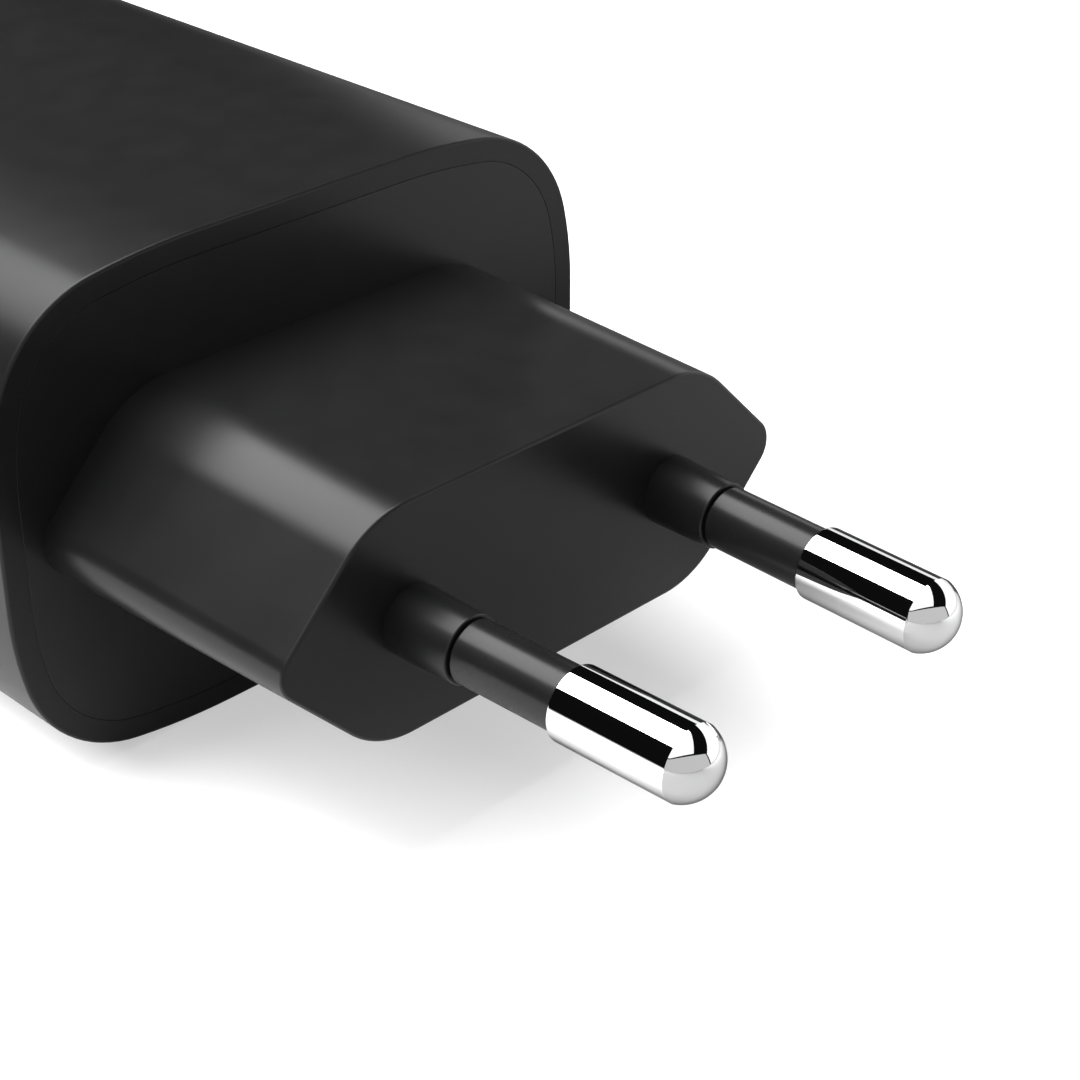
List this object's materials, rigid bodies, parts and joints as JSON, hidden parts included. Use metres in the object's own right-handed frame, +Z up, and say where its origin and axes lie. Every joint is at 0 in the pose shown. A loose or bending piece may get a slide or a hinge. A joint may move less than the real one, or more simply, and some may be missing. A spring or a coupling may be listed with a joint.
{
  "type": "usb wall charger",
  "caption": "Black USB wall charger with a flat two-pin round-pin plug on a six-sided neck, sprung pins and two USB sockets.",
  "frame": {"origin": "under the middle of the whole object, on the surface it lies on", "axes": "+Z up; +Y from the plug pins to the USB sockets; +X across both pins"},
  "size_m": [0.0414, 0.0847, 0.029],
  "materials": {
    "shell_plastic": "satin, very fine moulded grain",
    "cover_plastic": "satin",
    "sleeve_plastic": "satin",
    "pin_plating": "polished nickel plating",
    "retainer_plastic": "moulded",
    "strip_brass": "stamped",
    "board_laminate": "solder resist",
    "socket_steel": "drawn",
    "socket_plastic": "moulded",
    "contact_gold": "gold plated",
    "ferrite": "sintered",
    "bobbin_plastic": "moulded",
    "copper_wire": "enamelled copper wire",
    "coil_tape": "polyester tape",
    "capacitor_sleeve": "shrunk sleeve",
    "capacitor_can": "drawn can",
    "film_capacitor": "moulded box",
    "disc_ceramic": "dipped",
    "fuse_ceramic": "ceramic tube",
    "fuse_metal": "plated caps",
    "thermistor_coat": "dipped",
    "chip_resin": "moulded resin",
    "optocoupler_resin": "moulded resin",
    "resistor_ceramic": "glazed",
    "film_sheet": "insulating film",
    "spreader_aluminium": "rolled sheet"
  },
  "bodies": {
    "charger": {"housing_shell": "shell_plastic", "plug_cover": "cover_plastic", "pin_retainer": "retainer_plastic", "contact_strip_left": "strip_brass", "contact_strip_right": "strip_brass", "main_board": "board_laminate", "port_board": "board_laminate", "usb_a_shell": "socket_steel", "usb_c_shell": "socket_steel", "usb_a_tongue": "socket_plastic", "usb_c_tongue": "socket_plastic", "usb_c_contacts": "contact_gold", "usb_a_tails": "contact_gold", "transformer_core_front": "ferrite", "transformer_core_rear": "ferrite", "choke_core": "ferrite", "transformer_bobbin": "bobbin_plastic", "transformer_winding": "copper_wire", "choke_windings": "copper_wire", "transformer_tape": "coil_tape", "bulk_capacitor_left": "capacitor_sleeve", "bulk_capacitor_right": "capacitor_sleeve", "output_capacitor_front": "capacitor_can", "output_capacitor_rear": "capacitor_can", "x_capacitor": "film_capacitor", "y_capacitor": "disc_ceramic", "fuse_body": "fuse_ceramic", "fuse_caps": "fuse_metal", "thermistor": "thermistor_coat", "bridge_rectifier": "chip_resin", "switching_chip": "chip_resin", "optocoupler": "optocoupler_resin", "rectifier_chip": "chip_resin", "protocol_chips": "chip_resin", "chip_resistors": "resistor_ceramic", "insulation_wrap": "film_sheet", "base_sheet": "film_sheet", "heat_spreader": "spreader_aluminium"},
    "pin_left": {"plug_pin_left": "pin_plating", "pin_sleeve_left": "sleeve_plastic"},
    "pin_right": {"plug_pin_right": "pin_plating", "pin_sleeve_right": "sleeve_plastic"},
    "socket_springs": {"usb_a_contacts": "contact_gold"}
  },
  "joints": [
    {"name": "pin_left_lean", "type": "hinge", "parent": "charger", "child": "pin_left", "pos_m": [-0.00932, -0.02405, 0.0145], "axis": [0, 0, -1], "range_deg": [-1.2, 2.3], "stiffness_Nm_per_rad": 3.5},
    {"name": "pin_right_lean", "type": "hinge", "parent": "charger", "child": "pin_right", "pos_m": [0.00932, -0.02405, 0.0145], "axis": [0, 0, 1], "range_deg": [-1.2, 2.3], "stiffness_Nm_per_rad": 3.5},
    {"name": "socket_spring_press", "type": "hinge", "parent": "charger", "child": "socket_springs", "pos_m": [-0.00647, 0.03305, 0.01495], "axis": [1, 0, 0], "range_deg": [0, 3], "stiffness_Nm_per_rad": 0.4}
  ]
}
